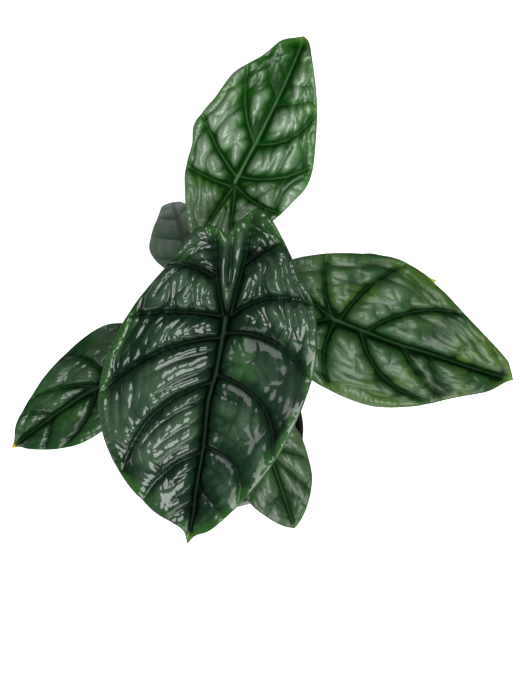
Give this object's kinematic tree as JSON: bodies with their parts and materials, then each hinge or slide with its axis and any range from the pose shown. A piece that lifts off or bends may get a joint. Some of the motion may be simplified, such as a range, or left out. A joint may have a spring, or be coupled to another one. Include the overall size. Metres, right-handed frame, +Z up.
{
  "type": "potted alocasia",
  "caption": "Live foliage plant with quilted, arrow-shaped leaves on upright stalks, growing in a tapered plastic nursery pot with a lip.",
  "frame": {"origin": "middle of the pot's underside, on the surface that the pot stands on", "axes": "+Z up, out of the pot's mouth; -Y the front, towards which the tip of the topmost leaf hangs; +X to the right"},
  "size_m": [0.3708, 0.3584, 0.3285],
  "materials": {
    "pot_plastic": "satin",
    "potting_mix": "matte",
    "stem": "matte",
    "stalk": "satin",
    "leaf_dark": "gloss",
    "leaf_green": "satin",
    "dry_sheath": "matte"
  },
  "bodies": {
    "root": {"pot": "pot_plastic", "potting_mix": "potting_mix", "stem": "stem", "blade_top": "leaf_dark", "petiole_top": "stalk", "blade_back": "leaf_green", "petiole_back": "stalk", "blade_right": "leaf_green", "petiole_right": "stalk", "blade_left": "leaf_green", "petiole_left": "stalk", "blade_front": "leaf_green", "petiole_front": "stalk", "blade_back_left": "leaf_green", "petiole_back_left": "stalk", "blade_right_lower": "leaf_green", "petiole_right_lower": "stalk", "sheath_outer": "dry_sheath", "sheath_inner": "dry_sheath"}
  },
  "joints": []
}
